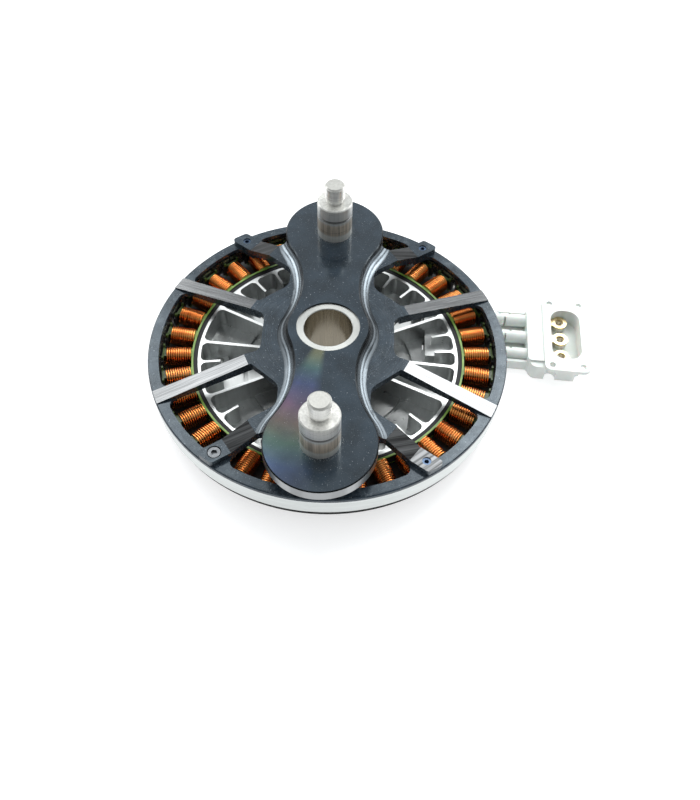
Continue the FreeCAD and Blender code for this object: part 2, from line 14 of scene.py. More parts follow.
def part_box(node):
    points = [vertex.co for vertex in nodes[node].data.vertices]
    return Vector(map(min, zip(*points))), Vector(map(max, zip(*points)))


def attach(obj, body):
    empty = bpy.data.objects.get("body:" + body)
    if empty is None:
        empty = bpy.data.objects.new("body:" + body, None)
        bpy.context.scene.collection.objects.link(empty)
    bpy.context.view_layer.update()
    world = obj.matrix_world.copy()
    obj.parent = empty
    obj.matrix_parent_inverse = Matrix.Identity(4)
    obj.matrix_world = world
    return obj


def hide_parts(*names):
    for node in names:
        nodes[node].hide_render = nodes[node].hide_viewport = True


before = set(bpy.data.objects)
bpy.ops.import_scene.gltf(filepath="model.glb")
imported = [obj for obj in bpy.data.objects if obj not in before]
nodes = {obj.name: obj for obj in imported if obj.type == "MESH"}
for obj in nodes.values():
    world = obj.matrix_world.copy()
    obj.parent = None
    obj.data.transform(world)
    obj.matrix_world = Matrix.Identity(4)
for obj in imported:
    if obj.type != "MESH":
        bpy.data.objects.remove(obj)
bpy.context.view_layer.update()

MM = 0.001

# Heights and places that the looks are laid out on.
BAR_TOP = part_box("rotor_bell")[1].z
WEB_TOP = 31.6 * MM
RIM_TOP = 24.0 * MM
BOSS_TOP = 27.0 * MM
CARRIER_TOP = 17.3 * MM
PIN_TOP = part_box("blade_pin_front")[1].z
PIN_OFFSET = 65.0 * MM
PIN_COLLAR_R = 8.8 * MM


# ---- camera, floor and light --------------------------------------------
def make_camera():
    """A hand-held view from the front and above, rolled and turned by a degree or two."""
    pitch, roll, turn = math.radians(53.72), math.radians(1.88), math.radians(0.59)
    forward = Vector((0, math.cos(pitch), -math.sin(pitch)))
    level_right = Vector((1, 0, 0))
    level_up = Vector((0, math.sin(pitch), math.cos(pitch)))
    right = level_right * math.cos(roll) + level_up * math.sin(roll)
    up = level_up * math.cos(roll) - level_right * math.sin(roll)
    aim = Vector((11.38, -32.87, 24.0)) * MM
    distance = 390.06
    place = Matrix((right, up, -forward)).transposed().to_4x4()
    place.translation = aim - forward * distance * MM
    data = bpy.data.cameras.new("camera")
    data.lens = 38.22
    data.sensor_width = 36.0
    data.clip_start = 0.01
    camera = bpy.data.objects.new("camera", data)
    camera.matrix_world = Matrix.Rotation(turn, 4, "Z") @ place
    bpy.context.scene.collection.objects.link(camera)
    bpy.context.scene.camera = camera


def area_light(name, place, aim, size, watts):
    """Rectangular softbox at a place, turned towards its aim."""
    data = bpy.data.lights.new(name, "AREA")
    data.shape = "RECTANGLE"
    data.size, data.size_y = size
    data.energy = watts
    light = bpy.data.objects.new(name, data)
    light.location = place
    light.rotation_euler = (Vector(aim) - Vector(place)).to_track_quat("-Z", "Y").to_euler()
    bpy.context.scene.collection.objects.link(light)


def make_studio():
    """White floor in a white tent, dimmer at the front, with two softboxes and two low strips behind."""
    scene = bpy.context.scene
    scene.view_settings.view_transform = "Standard"
    scene.view_settings.look = "None"
    scene.world = tent_world()

    half = 3.0
    corners = [(-half, -half, 0), (half, -half, 0), (half, half, 0), (-half, half, 0)]
    floor_mesh = bpy.data.meshes.new("floor")
    floor_mesh.from_pydata(corners, [], [(0, 1, 2, 3)])
    floor = bpy.data.objects.new("floor", floor_mesh)
    scene.collection.objects.link(floor)
    floor.data.materials.append(floor_material())

    aim = (0, 0, 0.02)
    area_light("softbox_right", (0.42, 0.60, 0.96), aim, (0.46, 0.50), 6.0)
    area_light("softbox_left", (-0.48, 0.60, 0.94), aim, (0.46, 0.50), 3.0)
    for side, name in ((1, "strip_right"), (-1, "strip_left")):
        area_light(name, (side * 0.66, 0.56, 0.40), aim, (0.75, 0.26), 2.8)


def fade(tree, source, between, strengths):
    """Maps a source, between two of its values, to light strengths."""
    made = tree.nodes.new("ShaderNodeMapRange")
    made.inputs["From Min"].default_value, made.inputs["From Max"].default_value = between
    made.inputs["To Min"].default_value, made.inputs["To Max"].default_value = strengths
    tree.links.new(source, made.inputs["Value"])
    return made.outputs["Result"]


def tent_world():
    """Light that grows from the horizon up, and from the camera's side to the far side."""
    world = bpy.data.worlds.new("tent")
    world.use_nodes = True
    tree = world.node_tree
    direction = tree.nodes.new("ShaderNodeTexCoord").outputs["Generated"]
    split = tree.nodes.new("ShaderNodeSeparateXYZ")
    tree.links.new(direction, split.inputs["Vector"])
    rise = fade(tree, split.outputs["Z"], (-0.05, 0.55), (0.50, 1.0))
    depth = fade(tree, split.outputs["Y"], (-0.8, 0.2), (0.35, 1.0))
    both = tree.nodes.new("ShaderNodeMath")
    both.operation = "MULTIPLY"
    tree.links.new(rise, both.inputs[0])
    tree.links.new(depth, both.inputs[1])
    back = tree.nodes["Background"]
    back.inputs["Color"].default_value = (0.95, 0.98, 1.0, 1)
    tree.links.new(both.outputs[0], back.inputs["Strength"])
    return world


# ---- material helpers ---------------------------------------------------
class Shader:
    """A Principled material with short calls for the textures that drive it."""

    def __init__(self, name, colour, metallic, roughness, **settings):
        self.material = bpy.data.materials.new(name)
        self.material.use_nodes = True
        self.tree = self.material.node_tree
        self.base = self.tree.nodes["Principled BSDF"]
        self.set("Base Color", (*colour, 1))
        self.set("Metallic", metallic)
        self.set("Roughness", roughness)
        for socket, value in settings.items():
            self.set(socket.replace("_", " "), value)
        self.coords = self.tree.nodes.new("ShaderNodeTexCoord").outputs["Object"]

    def set(self, socket, value):
        """Gives a socket of the Principled shader a constant."""
        self.base.inputs[socket].default_value = value

    def link(self, source, socket):
        """Drives a socket of the Principled shader from another node."""
        self.tree.links.new(source, self.base.inputs[socket])

    def node(self, kind, values=None, links=None, **settings):
        """Adds a node, with constants or links on its inputs, and returns it."""
        made = self.tree.nodes.new("ShaderNode" + kind)
        for key, value in settings.items():
            setattr(made, key, value)
        for key, value in (values or {}).items():
            made.inputs[key].default_value = value
        for key, source in (links or {}).items():
            self.tree.links.new(source, made.inputs[key])
        return made

    def mapped(self, scale=(1, 1, 1), turn=0.0):
        """Object coordinates turned about Z by so many degrees, then stretched."""
        turned = self.node("Mapping", {"Rotation": (0, 0, math.radians(-turn))}, {"Vector": self.coords})
        stretched = self.node("Mapping", {"Scale": scale}, {"Vector": turned.outputs["Vector"]})
        return stretched.outputs["Vector"]

    def noise(self, scale, detail=4.0, vector=None, roughness=0.55):
        """Cloudy texture with about so many blotches to the metre."""
        made = self.node("TexNoise", {"Scale": scale, "Detail": detail, "Roughness": roughness},
                         {"Vector": vector or self.coords})
        return made.outputs["Fac"]

    def ramp(self, factor, stops):
        """Colour ramp with (position, colour or grey) stops."""
        made = self.node("ValToRGB", links={"Fac": factor})
        elements = made.color_ramp.elements
        while len(elements) < len(stops):
            elements.new(0.5)
        for element, (position, colour) in zip(elements, stops):
            element.position = position
            grey = isinstance(colour, (int, float))
            element.color = (colour, colour, colour, 1) if grey else (*colour, 1)
        return made.outputs["Color"]

    def mix(self, factor, low, high, blend="MIX"):
        """Blends two colours, each a constant or another node's output."""
        made = self.node("Mix", data_type="RGBA", blend_type=blend)
        for index, value in ((0, factor), (6, low), (7, high)):
            if hasattr(value, "node"):
                self.tree.links.new(value, made.inputs[index])
            elif index == 0:
                made.inputs[index].default_value = value
            else:
                made.inputs[index].default_value = (*value, 1)
        return made.outputs[2]

    def bump(self, height, distance, strength):
        """Bump for the surface from a height texture that spans so many metres."""
        made = self.node("Bump", {"Distance": distance, "Strength": strength}, {"Height": height})
        self.link(made.outputs["Normal"], "Normal")

    def axis_value(self, axis):
        """One coordinate, X, Y or Z, in metres."""
        return self.node("SeparateXYZ", links={"Vector": self.coords}).outputs[axis]

    def radius(self):
        """Distance from the motor axis."""
        flat = self.node("VectorMath", {1: (1, 1, 0)}, {0: self.coords}, operation="MULTIPLY")
        return self.node("VectorMath", links={0: flat.outputs[0]}, operation="LENGTH").outputs["Value"]

    def decimetres(self, length):
        """A length in decimetres, so that a ramp from 0 to 1 spans the rotor."""
        return self.math("MULTIPLY", length, 10.0)

    def math(self, operation, first, second=0.0):
        """Sum on two values, each a constant or another node's output."""
        made = self.node("Math", operation=operation)
        for index, value in enumerate((first, second)):
            if hasattr(value, "node"):
                self.tree.links.new(value, made.inputs[index])
            else:
                made.inputs[index].default_value = value
        return made.outputs[0]

    def rings(self, pitch):
        """Noise that varies only with the distance from the motor axis, as a turned face does."""
        scaled = self.math("MULTIPLY", self.radius(), 1 / pitch)
        made = self.node("TexNoise", {"Scale": 1.0, "Detail": 2.0}, {"W": scaled}, noise_dimensions="1D")
        return made.outputs["Fac"]


def floor_material():
    """White paper, lit a little from behind, so that shadows on it stay pale."""
    shader = Shader("floor_paper", (0.55, 0.555, 0.56), 0.0, 0.7, Emission_Color=(1, 1, 1, 1),
                    Emission_Strength=0.66)
    shader.bump(shader.noise(900), 0.0001, 0.2)
    return shader.material


# ---- materials of the motor ---------------------------------------------
BLACK = (0.013, 0.020, 0.028)


def shade(colour, factor):
    """A lighter or darker colour of the same hue."""
    return tuple(c * factor for c in colour)


def anodised(name, rough):
    """Machined aluminium with a blue-black anodised skin, dusted with fine pale specks.

    rough holds its least and greatest roughness. The skin's tone is kept in shader.tone,
    for the caller to build the base colour on.
    """
    shader = Shader(name, BLACK, 0.0, 0.2, Specular_IOR_Level=0.6, Specular_Tint=(0.80, 0.92, 1.0, 1))
    cloud = shader.ramp(shader.noise(90, 5), [(0.3, shade(BLACK, 0.6)), (0.7, shade(BLACK, 1.6))])
    fine = shader.ramp(shader.noise(2200, 2, roughness=0.5), [(0.66, 0.0), (0.74, 1.0)])
    coarse = shader.ramp(shader.noise(1100, 1, roughness=0.4), [(0.72, 0.0), (0.77, 1.0)])
    specks = shader.math("MAXIMUM", fine, coarse)
    shader.tone = shader.mix(specks, cloud, (0.17, 0.19, 0.21))
    shader.link(shader.ramp(shader.noise(160, 4), [(0.3, rough[0]), (0.7, rough[1])]), "Roughness")
    return shader


def turned_bell():
    """The rest of the bell: faint turned rings on its flats, and pale scuffs round the outer ring."""
    shader = anodised("anodised_bell", (0.18, 0.30))
    rings = shader.rings(0.0007)
    turned = shader.mix(0.6, shader.tone, shader.ramp(rings, [(0.3, 0.55), (0.7, 1.6)]), "MULTIPLY")
    outside = shader.ramp(shader.decimetres(shader.radius()), [(0.77, 0.0), (0.82, 0.8)])
    scuffs = shader.ramp(shader.noise(130, 7, roughness=0.72), [(0.50, 0.0), (0.66, 1.0)])
    # Here the mask holds only wear: scuffs round the outer ring.
    wear_and_highlight = shader.math("MULTIPLY", outside, scuffs)
    shader.link(shader.mix(wear_and_highlight, turned, (0.075, 0.095, 0.11)), "Base Color")
    shader.bump(rings, 0.00002, 0.25)
    return shader.material


def bar_top_material():
    """The bar's polished top: a faint painted rainbow sheen fans out over the front lobe, and dust rings
    the pins.
    """
    shader = anodised("anodised_bar", (0.08, 0.19))
    across, along = shader.axis_value("X"), shader.axis_value("Y")
    slant = shader.math("DIVIDE", across, shader.math("MINIMUM", along, -0.001))
    # Painted sheen: the fan and its hues paint a rainbow into the base colour, in place of light thrown
    # back off the lobe's fine turning.
    sheen_fan = shader.ramp(slant, [(0.02, 0.0), (0.14, 1.0), (0.34, 1.0), (0.52, 0.0)])
    sheen_fan = shader.math("MULTIPLY", sheen_fan, shader.math("LESS_THAN", along, -0.001))
    sheen_hues = shader.ramp(shader.decimetres(shader.radius()), [
        (0.15, (0.30, 0.28, 0.10)), (0.26, (0.10, 0.22, 0.20)), (0.36, (0.10, 0.12, 0.36)),
        (0.48, (0.30, 0.14, 0.24)), (0.58, (0.34, 0.22, 0.14)), (0.68, (0.14, 0.28, 0.16)),
        (0.80, (0.08, 0.14, 0.34)), (0.95, (0.10, 0.10, 0.14))])
    cloudy = shader.math("MULTIPLY", shader.noise(60, 4), 0.62)
    sheen = shader.mix(shader.math("MULTIPLY", sheen_fan, cloudy), shader.tone, sheen_hues)
    shader.link(shader.mix(pin_dust(shader), sheen, (0.30, 0.31, 0.31)), "Base Color")
    shader.bump(shader.noise(1500, 3), 0.00003, 0.2)
    return shader.material


def bar_side_material():
    """Side of the bar: a painted highlight along its round foot, brightest on the necks, with painted
    shade above it.
    """
    skin = (0.085, 0.098, 0.108)
    shader = Shader("anodised_side", skin, 1.0, 0.2)
    cloud = shader.ramp(shader.noise(70, 3), [(0.3, shade(skin, 0.75)), (0.7, shade(skin, 1.15))])
    # Painted highlight: along, upwards and their product brighten the base colour along the foot and on
    # the necks, and darken it up the wall as painted shade.
    from_shaft = shader.decimetres(shader.math("ABSOLUTE", shader.axis_value("Y")))
    along = shader.ramp(from_shaft, [(0.08, 0.6), (0.22, 1.7), (0.36, 2.1), (0.48, 2.3), (0.62, 0.8)])
    climb = shader.math("SUBTRACT", shader.axis_value("Z"), WEB_TOP)
    climb = shader.math("DIVIDE", climb, BAR_TOP - WEB_TOP)
    upwards = shader.ramp(climb, [(0.0, 0.4), (0.12, 1.0), (0.34, 1.0), (0.62, 0.3)])
    wear_and_highlight = shader.mix(1.0, along, upwards, "MULTIPLY")
    shader.link(shader.mix(1.0, cloud, wear_and_highlight, "MULTIPLY"), "Base Color")
    shader.link(shader.ramp(shader.noise(90, 3), [(0.3, 0.17), (0.7, 0.24)]), "Roughness")
    return shader.material


def pin_dust(shader):
    """Where dust lies: broken crumbs in a ring round the foot of each pin."""
    reach = 2.0 * MM
    flat = shader.node("VectorMath", {1: (1, 1, 0)}, {0: shader.coords}, operation="MULTIPLY").outputs[0]
    folded = shader.node("VectorMath", links={0: flat}, operation="ABSOLUTE").outputs[0]
    to_pin = shader.node("VectorMath", {1: (0, PIN_OFFSET, 0)}, {0: folded}, operation="DISTANCE")
    away = shader.math("SUBTRACT", to_pin.outputs["Value"], PIN_COLLAR_R)
    away = shader.math("MULTIPLY", away, 1 / reach)
    ring = shader.ramp(away, [(0.0, 1.0), (0.25, 0.7), (0.9, 0.0)])
    crumbs = shader.ramp(shader.noise(1900, 3), [(0.56, 0.0), (0.66, 1.0)])
    return shader.math("MULTIPLY", ring, crumbs)


def milled(name, tone, turn, pitch, rough, depth=0.34):
    """A face with straight cutter lines a given pitch apart, running at an angle to X.

    The lines darken the face by the given depth, a share of its tone.
    """
    colour = (tone * 0.97, tone, tone * 1.02)
    shader = Shader(name, colour, 1.0, rough)
    across = shader.mapped((0.03 / pitch, 1 / pitch, 0.03 / pitch), turn)
    lines = shader.noise(1.0, 3, across)
    dark, bright = shade(colour, 1 - depth), shade(colour, 1 + depth / 2)
    shader.link(shader.ramp(lines, [(0.34, dark), (0.66, bright)]), "Base Color")
    shader.bump(lines, 0.00003, 0.5)
    return shader.material


def turned_steel(name, colour, roughness, pitch=0.0004):
    """Bright turned steel with fine rings, a little uneven in tone."""
    shader = Shader(name, colour, 1.0, roughness)
    across = shader.mapped((40, 40, 1 / pitch))
    rings = shader.noise(1.0, 3, across)
    shader.link(shader.ramp(rings, [(0.3, shade(colour, 0.86)), (0.7, colour)]), "Base Color")
    shader.link(shader.ramp(rings, [(0.3, roughness * 0.8), (0.7, roughness * 1.3)]), "Roughness")
    shader.bump(rings, 0.00002, 0.4)
    return shader.material


def ground_shaft():
    """Ground steel, streaked along the bore."""
    colour = (0.34, 0.31, 0.25)
    shader = Shader("ground_shaft", colour, 1.0, 0.2)
    streaks = shader.noise(1.0, 3, shader.mapped((900, 900, 25)))
    tints = [(0.3, shade(colour, 0.85)), (0.7, shade(colour, 1.1))]
    shader.link(shader.ramp(streaks, tints), "Base Color")
    shader.link(shader.ramp(streaks, [(0.3, 0.16), (0.7, 0.3)]), "Roughness")
    shader.bump(streaks, 0.00002, 0.3)
    return shader.material


def pin_steel():
    """Blade pin: a ringed stud painted pale as a painted reflection, painted shade in its groove, a brown
    band of rub marks and a pale foot.

    Every ramp here runs over the pin's height above the bar, from 0 at its foot to 1 at its top.
    """
    shader = Shader("pin_steel", (0.7, 0.7, 0.68), 0.6, 0.3)
    height = shader.math("SUBTRACT", shader.axis_value("Z"), BAR_TOP)
    height = shader.math("DIVIDE", height, PIN_TOP - BAR_TOP)
    streak = shader.noise(1.0, 4, shader.mapped((900, 900, 30)))
    ragged = shader.math("MULTIPLY", shader.math("SUBTRACT", streak, 0.5), 0.06)
    shifted = shader.math("ADD", height, ragged)
    # pale is the stud's tint, raised as a painted reflection: the light that the stud throws back is
    # painted into its colour.
    grey, pale = (0.58, 0.59, 0.58), (0.90, 0.90, 0.86)
    tint = shader.ramp(shifted, [
        (0.0, (0.66, 0.66, 0.62)), (0.12, (0.70, 0.69, 0.64)), (0.16, (0.52, 0.45, 0.36)),
        (0.34, (0.60, 0.53, 0.44)), (0.39, grey), (0.50, grey), (0.66, (0.60, 0.60, 0.57)),
        (0.72, pale), (0.96, pale), (0.985, (0.50, 0.50, 0.47))])
    grain = shader.ramp(streak, [(0.35, 0.5), (0.62, 1.12)])
    rubbed = shader.ramp(height, [(0.10, 0.25), (0.17, 0.9), (0.33, 0.9), (0.40, 0.25)])
    rings = shader.noise(1.0, 3, shader.mapped((30, 30, 3500)))
    # groove darkens a narrow band of the collar as painted shade in the groove.
    groove = shader.ramp(height, [(0.405, 1.0), (0.412, 0.3), (0.452, 0.3), (0.460, 1.0)])
    stud = shader.ramp(height, [(0.64, 0.1), (0.70, 0.8), (0.95, 0.8), (0.97, 0.1)])
    skin = shader.mix(rubbed, tint, grain, "MULTIPLY")
    skin = shader.mix(1.0, skin, groove, "MULTIPLY")
    skin = shader.mix(stud, skin, shader.ramp(rings, [(0.38, 0.62), (0.55, 1.1)]), "MULTIPLY")
    shader.link(skin, "Base Color")
    shader.link(shader.ramp(rings, [(0.3, 0.26), (0.7, 0.40)]), "Roughness")
    shader.bump(rings, 0.00003, 0.5)
    return shader.material


def copper():
    """Enamelled copper wire, a little redder in places."""
    shader = Shader("copper_wire", (0.80, 0.30, 0.08), 1.0, 0.3, Coat_Weight=0.3, Coat_Roughness=0.2)
    tints = [(0.3, (0.70, 0.20, 0.04)), (0.5, (0.92, 0.36, 0.09)), (0.75, (1.0, 0.50, 0.17))]
    shader.link(shader.ramp(shader.noise(60, 2), tints), "Base Color")
    shader.link(shader.ramp(shader.noise(120, 2), [(0.3, 0.18), (0.7, 0.28)]), "Roughness")
    return shader.material


def laminations():
    """Stack of thin dark steel sheets."""
    shader = Shader("stator_laminations", (0.03, 0.03, 0.032), 0.6, 0.45)
    wave = shader.node("TexWave", {"Scale": 450.0, "Distortion": 0.3, "Detail": 1.0},
                       {"Vector": shader.coords}, bands_direction="Z")
    sheets = wave.outputs["Fac"]
    tints = [(0.2, (0.012, 0.012, 0.013)), (0.6, (0.05, 0.05, 0.052))]
    shader.link(shader.ramp(sheets, tints), "Base Color")
    shader.bump(sheets, 0.00004, 0.6)
    return shader.material


def green_insulation():
    """Green liner, with painted shade on the ears between the coils."""
    shader = Shader("green_insulation", (0.18, 0.32, 0.05), 0.0, 0.4, Coat_Weight=0.2, Coat_Roughness=0.2)
    patch = shader.ramp(shader.noise(220, 4), [(0.3, (0.10, 0.20, 0.03)), (0.7, (0.24, 0.40, 0.07))])
    # outwards darkens the liner towards its outer ears as painted shade between the coils.
    outwards = shader.ramp(shader.decimetres(shader.radius()), [(0.69, 1.0), (0.76, 0.28)])
    shader.link(shader.mix(1.0, patch, outwards, "MULTIPLY"), "Base Color")
    shader.bump(shader.noise(2500, 3), 0.00003, 0.4)
    return shader.material


def fibre_board():
    """Black board with a coarse weave."""
    shader = Shader("fibre_board", (0.014, 0.014, 0.016), 0.0, 0.5)
    weave = shader.noise(1.0, 3, shader.mapped((2500, 600, 600), 45))
    shader.link(shader.ramp(weave, [(0.3, 0.008), (0.7, 0.03)]), "Base Color")
    shader.bump(weave, 0.00003, 0.4)
    return shader.material


def machined_aluminium(name, tone, rough, metallic=1.0):
    """Milled aluminium, cloudy, with faint turned rings."""
    colour = (tone * 0.97, tone, tone * 0.99)
    shader = Shader(name, colour, metallic, rough)
    rings = shader.ramp(shader.rings(0.0016), [(0.3, 0.8), (0.7, 1.05)])
    cloud = shader.ramp(shader.noise(60, 4), [(0.3, shade(colour, 0.86)), (0.7, colour)])
    shader.link(shader.mix(0.3, cloud, rings, "MULTIPLY"), "Base Color")
    shader.link(shader.ramp(shader.noise(400, 3), [(0.3, rough * 0.8), (0.7, rough * 1.25)]), "Roughness")
    return shader.material


def white_nylon():
    """Moulded white plastic, faintly green, with a fine grain."""
    shader = Shader("white_nylon", (0.72, 0.76, 0.73), 0.0, 0.42,
                    Subsurface_Weight=0.15, Subsurface_Scale=0.002)
    cloud = shader.ramp(shader.noise(150, 4), [(0.3, (0.68, 0.72, 0.69)), (0.7, (0.75, 0.79, 0.76))])
    shader.link(cloud, "Base Color")
    shader.bump(shader.noise(1800, 3), 0.00005, 0.3)
    return shader.material


def plated(name, colour, roughness):
    """Metal with a thin coat, cloudy and uneven in gloss."""
    shader = Shader(name, colour, 1.0, roughness)
    cloud = shader.ramp(shader.noise(700, 4), [(0.3, shade(colour, 0.78)), (0.7, colour)])
    shader.link(cloud, "Base Color")
    gloss = shader.ramp(shader.noise(1500, 3), [(0.3, roughness * 0.7), (0.7, roughness * 1.5)])
    shader.link(gloss, "Roughness")
    shader.bump(shader.noise(2400, 3), 0.00002, 0.3)
    return shader.material


def rubber(name, grey, roughness=0.5):
    """Matt rubber or silicone."""
    shader = Shader(name, (grey, grey, grey * 1.05), 0.0, roughness)
    shader.link(shader.ramp(shader.noise(500, 4), [(0.3, grey * 0.7), (0.7, grey * 1.5)]), "Base Color")
    shader.bump(shader.noise(2600, 4), 0.00004, 0.4)
    return shader.material


# ---- windings -----------------------------------------------------------
# Lengths here are in millimetres, on a coil that lies along +X; coil_mesh scales them to metres.
SLOTS = 36
FIRST_SLOT = 3.0        # in degrees from +X
COIL_IN, COIL_OUT = 66.4, 79.3
COIL_HALF = 4.1
COIL_LOW, COIL_MID, COIL_HIGH = 9.8, 14.7, 19.6
CORNER_R = 3.3          # of the outer layer's turns
CORNER_STEP = 0.9       # by how much the inner layer's corners are tighter
WIRE_R = 0.42
TURNS = 11
LAYERS = 2
CROWN = 0.12            # by how much the middle turns stand out beyond the end ones
SLACK = 0.04            # by how much a turn may lie inside its place
ADVANCE = 0.9           # how far one turn of wire leads towards the next


def turn_corners(half_width, low, high, corner_r, per_corner=5):
    """Points round one turn of wire, as (across, height), on a rectangle with round corners."""
    right, top = half_width - corner_r, high - corner_r
    left, bottom = -half_width + corner_r, low + corner_r
    arcs = []
    quarters = [(right, top, 0), (left, top, 90), (left, bottom, 180), (right, bottom, 270)]
    for across, height, start in quarters:
        angles = [math.radians(start + 90 * k / (per_corner - 1)) for k in range(per_corner)]
        arcs.append([(across + corner_r * math.cos(a), height + corner_r * math.sin(a)) for a in angles])
    points = []
    for arc, following in zip(arcs, arcs[1:] + arcs[:1]):
        (last_y, last_z), (next_y, next_z) = arc[-1], following[0]
        points += arc + [((last_y + next_y) / 2, (last_z + next_z) / 2)]
    return points


def layer_path(rng, layer, wavy):
    """One layer of a coil as a long spiral of points, with each turn a little out of line."""
    inset = WIRE_R + layer * 2 * WIRE_R
    corner_r = CORNER_R - layer * CORNER_STEP
    corners = turn_corners(COIL_HALF - inset, COIL_LOW + inset, COIL_HIGH - inset, corner_r)
    first, last = COIL_IN + WIRE_R, COIL_OUT - WIRE_R
    pitch = (last - first) / (TURNS - 1)
    lifts = [rng.uniform(-SLACK, 0.0) for _ in range(TURNS + 1)]
    leans = [rng.uniform(-wavy, wavy) for _ in range(TURNS + 1)]
    path = []
    for turn in range(TURNS):
        crown = CROWN * math.cos(math.pi * (turn / (TURNS - 1) - 0.5))
        for index, (y, z) in enumerate(corners):
            share = index / len(corners)
            lean = leans[turn] * (1 - share) + leans[turn + 1] * share
            lift = lifts[turn] * (1 - share) + lifts[turn + 1] * share
            x = first + (turn + share * ADVANCE) * (last - first) / TURNS
            x += lean * pitch * (y / COIL_HALF)
            x = min(max(x, first), last)
            outwards = 1 if z > COIL_MID else -1
            path.append(Vector((x, y, z + (lift + crown - CROWN) * outwards)))
    return path


def tube(mesh, path, radius, sides=7):
    """Adds a round tube along a path to a bmesh, closed at both ends."""
    rows = []
    for index, point in enumerate(path):
        ahead = (path[min(index + 1, len(path) - 1)] - path[max(index - 1, 0)]).normalized()
        aside = ahead.cross(Vector((1, 0, 0)))
        if aside.length < 1e-3:
            aside = ahead.cross(Vector((0, 0, 1)))
        aside.normalize()
        over = ahead.cross(aside)
        rows.append([mesh.verts.new(point + (aside * math.cos(a) + over * math.sin(a)) * radius)
                     for a in (2 * math.pi * k / sides for k in range(sides))])
    for low, high in zip(rows, rows[1:]):
        for k in range(sides):
            face = mesh.faces.new((low[k], low[(k + 1) % sides], high[(k + 1) % sides], high[k]))
            face.smooth = True
    mesh.faces.new(list(reversed(rows[0])))
    mesh.faces.new(rows[-1])


def coil_mesh(seed):
    """One coil along +X: two layers of wire, more wavy in some coils than in others."""
    rng = random.Random(seed)
    wavy = rng.choice((0.04, 0.08, 0.3))     # the share of the pitch that a turn may lean by
    mesh = bmesh.new()
    for layer in reversed(range(LAYERS)):
        tube(mesh, layer_path(rng, layer, wavy), WIRE_R)
    bmesh.ops.scale(mesh, vec=(MM, MM, MM), verts=mesh.verts)
    bmesh.ops.recalc_face_normals(mesh, faces=mesh.faces)
    made = bpy.data.meshes.new("coil_%d" % seed)
    mesh.to_mesh(made)
    mesh.free()
    return made


def make_windings():
    """Thirty-six wire-wound coils as one piece, in place of the plain copper blocks."""
    kinds = [coil_mesh(seed) for seed in range(9)]
    order = random.Random(4)
    whole = bmesh.new()
    for slot in range(SLOTS):
        coil = order.choice(kinds).copy()
        coil.transform(Matrix.Rotation(math.radians(FIRST_SLOT + slot * 360 / SLOTS), 4, "Z"))
        whole.from_mesh(coil)
        bpy.data.meshes.remove(coil)
    piece = add_piece("coil_windings", whole, copper(), "stator")
    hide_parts("coils")


def add_piece(name, mesh, material, body):
    """Puts a finished bmesh in the scene as a piece that rides on a body."""
    data = bpy.data.meshes.new(name)
    mesh.to_mesh(data)
    mesh.free()
    piece = bpy.data.objects.new(name, data)
    bpy.context.scene.collection.objects.link(piece)
    data.materials.append(material)
    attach(piece, body)
    return piece


# ---- phase leads --------------------------------------------------------
# Each route is the lead's control points in plan, in metres, at one height.
LEAD_R = 2.2 * MM
LEAD_Z = 5.5 * MM
LEAD_ROUTES = {
    "lead_front": [(0.0521, 0.0172), (0.0611, 0.0172), (0.07464, 0.01551), (0.08263, 0.01505)],
    "lead_middle": [(0.0521, 0.0262), (0.0611, 0.0262), (0.0753, 0.02689), (0.08328, 0.02643)],
    "lead_rear": [(0.0521, 0.0352), (0.0611, 0.0352), (0.07595, 0.03827), (0.08394, 0.03781)],
}


def make_lead(node, material):
    """A silicone lead from its grommet to its boot, on the smooth line of its route."""
    data = bpy.data.curves.new(node + "_cable", "CURVE")
    data.dimensions = "3D"
    data.bevel_depth = LEAD_R
    data.bevel_resolution = 5
    data.resolution_u = 16
    data.use_fill_caps = True
    spline = data.splines.new("NURBS")
    route = LEAD_ROUTES[node]
    spline.points.add(len(route) - 1)
    for point, (x, y) in zip(spline.points, route):
        point.co = (x, y, LEAD_Z, 1)
    spline.order_u = 3
    spline.use_endpoint_u = True
    data.materials.append(material)
    lead = bpy.data.objects.new(node + "_cable", data)
    bpy.context.scene.collection.objects.link(lead)
    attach(lead, "stator")
    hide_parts(node)


def make_leads():
    """The three leads, which run to the connector at their far end."""
    material = rubber("lead_silicone", 0.03, 0.42)
    for node in LEAD_ROUTES:
        make_lead(node, material)


# ---- materials on the CAD nodes -----------------------------------------
def dress(node, *materials):
    """Gives a CAD node new materials in place of its imported one."""
    slots = nodes[node].data.materials
    slots.clear()
    for material in materials:
        slots.append(material)


def soften(node, width):
    """Narrow rounded edges on a CAD node, so that they catch the light."""
    weld = nodes[node].modifiers.new("weld", "WELD")
    weld.merge_threshold = 0.00001
    bevel = nodes[node].modifiers.new("edges", "BEVEL")
    bevel.width = width
    bevel.segments = 2
    bevel.limit_method = "ANGLE"
    bevel.angle_limit = math.radians(40)


def paint_faces(node, tests):
    """Gives each face the material of the first test that its centre and normal pass."""
    for face in nodes[node].data.polygons:
        for index, test in tests:
            if test(face.center, face.normal):
                face.material_index = index
                break


def polar(point):
    """Radius, and the angle from the nearest half of the X axis, in degrees."""
    return math.hypot(point.x, point.y), math.degrees(math.atan2(abs(point.y), abs(point.x)))


